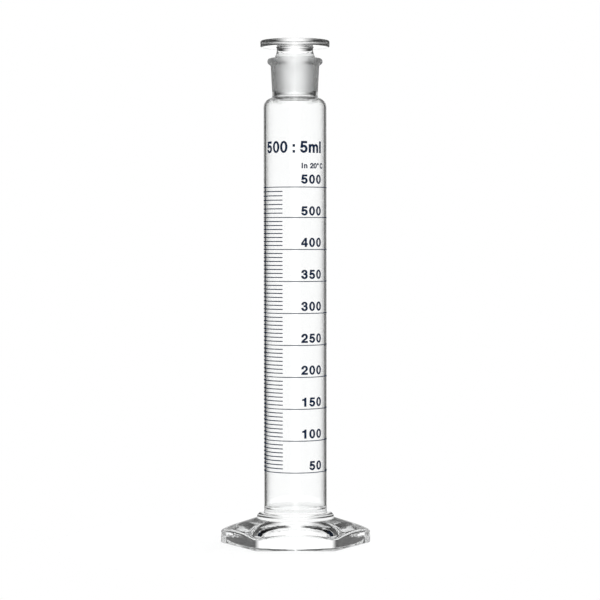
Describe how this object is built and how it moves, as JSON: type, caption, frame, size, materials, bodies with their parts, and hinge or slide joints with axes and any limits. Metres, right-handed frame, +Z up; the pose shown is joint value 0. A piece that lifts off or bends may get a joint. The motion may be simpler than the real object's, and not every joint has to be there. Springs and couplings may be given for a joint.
{
  "type": "stoppered measuring cylinder",
  "caption": "Tall clear glass measuring cylinder with a hexagonal foot, a printed volume scale, a ground socket neck and a flat-headed ground-glass stopper that lifts out.",
  "frame": {"origin": "centre of the hexagonal foot, on the surface it stands on", "axes": "+Z up the tube's axis; -Y is the front, which the numbers face; two flats of the foot are square to Y"},
  "size_m": [0.125, 0.111, 0.4194],
  "materials": {
    "clear_glass": "clear fire-polished borosilicate glass, frosted where the stopper and its socket are ground",
    "scale_ink": "fired-on dark blue ceramic ink"
  },
  "bodies": {
    "glass_cylinder": {"cylinder": "clear_glass", "numbered_lines": "scale_ink"},
    "glass_stopper": {"stopper": "clear_glass"}
  },
  "joints": [
    {"name": "stopper_lift", "type": "slide", "parent": "glass_cylinder", "child": "glass_stopper", "axis": [0, 0, 1], "range_m": [0, 0.06]}
  ]
}
